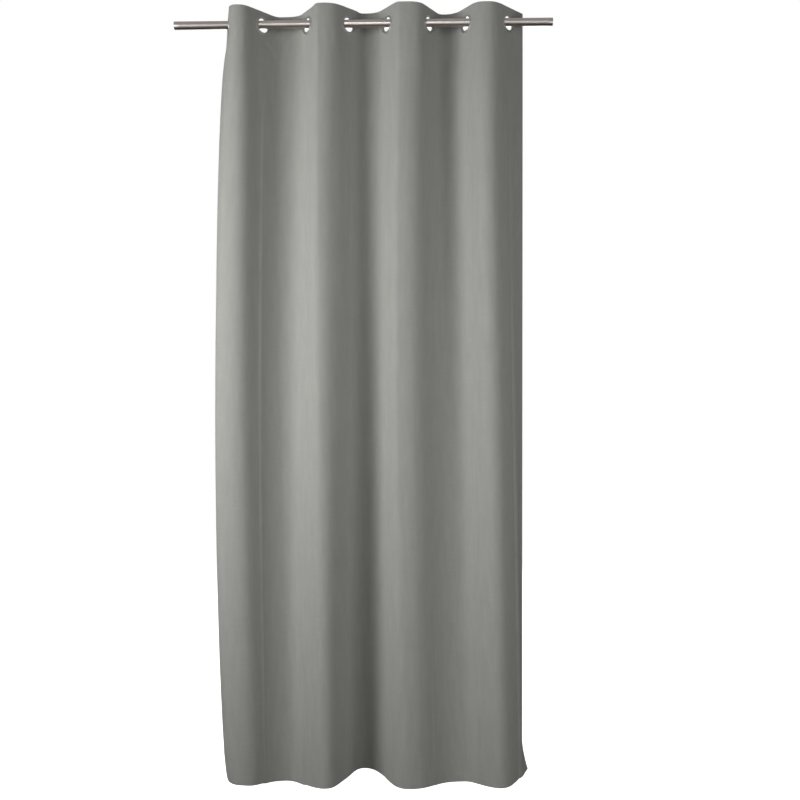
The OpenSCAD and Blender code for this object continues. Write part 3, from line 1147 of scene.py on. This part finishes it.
def turned_piece(name, profile, k, material):
    """A profile turned about eyelet k's axis and set in the heading, with its run round and across as UV."""
    points = revolve(profile, RING_SEGMENTS)
    rows, around = points.shape[:2]
    turn = EYELET_SIDE[k] * settings("curtain_folds").heading_angles[k]
    along = np.array([math.cos(turn), math.sin(turn), 0.0])
    towards_room = np.array([math.sin(turn), -math.cos(turn), 0.0])
    up = np.array([0.0, 0.0, 1.0])
    centre = np.array([EYELET_X[k], 0.0, Z_EYELET])
    placed = centre + points[..., :1] * along + points[..., 1:2] * up + points[..., 2:] * towards_room
    across = np.concatenate([[0.0], np.cumsum(np.linalg.norm(np.diff(profile, axis=0), axis=1))])
    swing = np.linspace(0, 2 * math.pi, around + 1)[:-1]
    uv = np.stack(np.broadcast_arrays(0.05 * np.sin(swing), across[:, None]), axis=-1)
    return new_piece(name, placed, grid_faces(rows, around, closed=True), material, uv)


class CURTAIN_OT_eyelets(bpy.types.Operator):
    """Builds the eight eyelets, each a front half with its tube and a back ring"""

    bl_idname = "curtain.eyelets"
    bl_label = "Eyelets"

    def execute(self, context):
        metal = settings("curtain_metal")
        cloth = settings("curtain_cloth")
        material = finish(eyelet_finish, "satin_eyelet")
        for k in range(EYELET_COUNT):
            body = "lead_edge" if k == 0 else f"leaf_{k + 1}"
            for half, make in (("front", front_profile), ("back", back_profile)):
                piece = turned_piece(f"ring_{half}_{k + 1}", make(metal, cloth), k, material)
                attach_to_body(piece, body)
                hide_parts(f"eyelet_{half}_{k + 1}")
        return {"FINISHED"}


class CURTAIN_OT_rod(bpy.types.Operator):
    """Builds the rod: a steel tube with plain cut ends"""

    bl_idname = "curtain.rod"
    bl_label = "Rod"

    def execute(self, context):
        metal = settings("curtain_metal")
        outer = (ROD_HIGH[2] - ROD_LOW[2]) / 2
        inner = outer - metal.rod_wall
        r = 0.0003
        x0, x1 = ROD_LOW[0] + r, ROD_HIGH[0] - r
        xs = np.linspace(x0, x1, 61)
        outside = np.column_stack([np.full(len(xs), outer), xs])
        right = arc((outer - r, x1), r, 0, 90, 5)[1:]
        right_in = arc((inner + r, x1), r, 90, 180, 5)
        inside = np.column_stack([np.full(len(xs) - 2, inner), xs[1:-1][::-1]])
        left_in = arc((inner + r, x0), r, 180, 270, 5)
        left = arc((outer - r, x0), r, 270, 360, 5)[:-1]
        profile = np.vstack([outside, right, right_in, inside, left_in, left])
        turned = revolve(profile, RING_SEGMENTS)
        rows, around = turned.shape[:2]
        points = turned[..., [2, 0, 1]]
        round_rod = outer * np.linspace(0, 2 * math.pi, around + 1)[:-1]
        uv = np.stack(np.broadcast_arrays(profile[:, 1:], round_rod), axis=-1)
        faces = grid_faces(rows, around, closed=True)[:, ::-1]
        piece = new_piece("rod_tube", points, faces, finish(rod_finish, "brushed_rod_steel"), uv)
        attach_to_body(piece, "rod")
        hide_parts("rod")
        return {"FINISHED"}


# ---- Stage ----

WHITE = (1.0, 1.0, 1.0, 1.0)
MIDDLE = (0.62, 0.0, -0.9)
UPPER = (0.5, 0.0, -0.85)
# Softboxes: name, place, target, side of the square in metres, watts, and spread of the beam in degrees.
LIGHTS = [
    ("key_softbox", (-1.8, -1.5, -0.95), UPPER, 1.3, 25.5, 120.0),
    ("near_key_softbox", (-1.55, -1.75, -0.85), UPPER, 1.3, 10.0, 90.0),
    ("right_fill_softbox", (2.8, -2.0, -1.35), MIDDLE, 1.6, 32.0, 180.0),
    ("front_fill_softbox", (0.6, -3.4, -0.9), MIDDLE, 2.0, 19.5, 180.0),
    ("rod_strip", (0.5, -3.0, 0.35), (0.6, 0.0, -0.1), 0.5, 9.0, 180.0),
    ("back_softbox", (0.6, 3.2, -0.2), MIDDLE, 2.4, 90.0, 180.0),
]
# The floor: gap below the hem, half its width, and its middle along the rod. The camera: sensor and turn.
FLOOR_GAP = 0.012
FLOOR_HALF = 9.0
FLOOR_X = 0.6
SENSOR_WIDTH = 36.0
CAMERA_TURN = 1.36


def area_light(name, place, target, size, watts, spread):
    """A square softbox at place, facing target, with its beam held to a spread in degrees."""
    data = bpy.data.lights.new(name, "AREA")
    data.shape = "SQUARE"
    data.size = size
    data.energy = watts
    data.spread = math.radians(spread)
    lamp = bpy.data.objects.new(name, data)
    back = np.array(place) - np.array(target)
    flat = math.hypot(back[0], back[1])
    lamp.rotation_euler = (math.atan2(flat, back[2]), 0.0, math.atan2(back[0], -back[1]))
    lamp.location = place
    bpy.context.scene.collection.objects.link(lamp)


def studio_world():
    """A plain white backdrop that lights nothing. Metal mirrors it as a grey ceiling over a dark floor."""
    world = bpy.data.worlds.new("studio")
    world.use_nodes = True
    world.cycles_visibility.diffuse = False
    nodes = Nodes(world.node_tree)
    up = nodes.split(nodes.node("ShaderNodeTexCoord").outputs["Generated"])["Z"]
    ceiling = nodes.remap(up, -0.2, 0.9, 0.02, 0.42)
    seen = nodes.node("ShaderNodeLightPath").outputs["Is Camera Ray"]
    strength = nodes.maths("MAXIMUM", seen, ceiling)
    nodes.feed(nodes.tree.nodes["Background"], Color=WHITE, Strength=strength)
    return world


class CURTAIN_OT_stage(bpy.types.Operator):
    """Sets the plain floor, the soft lights and the camera"""

    bl_idname = "curtain.stage"
    bl_label = "Floor, Lights and Camera"

    def execute(self, context):
        stage = settings("curtain_stage")
        scene = context.scene
        scene.view_settings.view_transform = "Standard"

        shader = Shader("pale_floor")
        place = shader.node("ShaderNodeTexCoord").outputs["Object"]
        grain = shader.noise(place, (6.0, 6.0, 6.0), 3.0)
        pale = shader.mix(grain, rgba(stage.floor_colour, 0.985), rgba(stage.floor_colour))
        shader.link(pale, shader.surface.inputs["Base Color"])
        shader.surface.inputs["Roughness"].default_value = 0.9
        shader.surface.inputs["Emission Color"].default_value = WHITE
        shader.surface.inputs["Emission Strength"].default_value = 1.0
        corners = FLOOR_HALF * np.array([[-1, -1], [1, -1], [1, 1], [-1, 1]])
        points = np.column_stack([corners + [FLOOR_X, 0.0], np.full(4, Z_BOTTOM - FLOOR_GAP)])
        floor = new_piece("floor", points, [[0, 1, 2, 3]], shader.material)
        floor.visible_diffuse = False
        floor.visible_glossy = False

        scene.world = studio_world()
        for light in LIGHTS:
            area_light(*light)

        data = bpy.data.cameras.new("camera")
        data.sensor_width = SENSOR_WIDTH
        data.lens = SENSOR_WIDTH / 2 * stage.eye_distance / stage.half_width
        data.clip_end = 60.0
        camera = bpy.data.objects.new("camera", data)
        camera.location = (stage.eye_x, -stage.eye_distance, stage.eye_height)
        camera.rotation_euler = (math.radians(90.0), 0.0, math.radians(CAMERA_TURN))
        scene.collection.objects.link(camera)
        scene.camera = camera
        return {"FINISHED"}


class CURTAIN_PT_panel(bpy.types.Panel):
    """Lists the pieces of the curtain"""

    bl_idname = "CURTAIN_PT_panel"
    bl_label = "Eyelet Curtain"
    bl_space_type = "VIEW_3D"
    bl_region_type = "UI"
    bl_category = "Curtain"

    def draw(self, context):
        for operator in OPERATORS:
            self.layout.operator(operator.bl_idname)


GROUPS = {
    "curtain_folds": CurtainFolds,
    "curtain_cloth": CurtainCloth,
    "curtain_metal": CurtainMetal,
    "curtain_stage": CurtainStage,
}
OPERATORS = (
    CURTAIN_OT_stage,
    CURTAIN_OT_rod,
    CURTAIN_OT_cloth,
    CURTAIN_OT_band,
    CURTAIN_OT_eyelets,
    CURTAIN_OT_stitches,
    CURTAIN_OT_label,
)


def register():
    for name, group in GROUPS.items():
        bpy.utils.register_class(group)
        setattr(bpy.types.Scene, name, bpy.props.PointerProperty(type=group))
    for operator in OPERATORS:
        bpy.utils.register_class(operator)
    bpy.utils.register_class(CURTAIN_PT_panel)


def unregister():
    bpy.utils.unregister_class(CURTAIN_PT_panel)
    for operator in reversed(OPERATORS):
        bpy.utils.unregister_class(operator)
    for name, group in reversed(GROUPS.items()):
        delattr(bpy.types.Scene, name)
        bpy.utils.unregister_class(group)


def main():
    register()
    for operator in OPERATORS:
        area, action = operator.bl_idname.split(".")
        getattr(getattr(bpy.ops, area), action)()


if __name__ == "__main__":
    main()
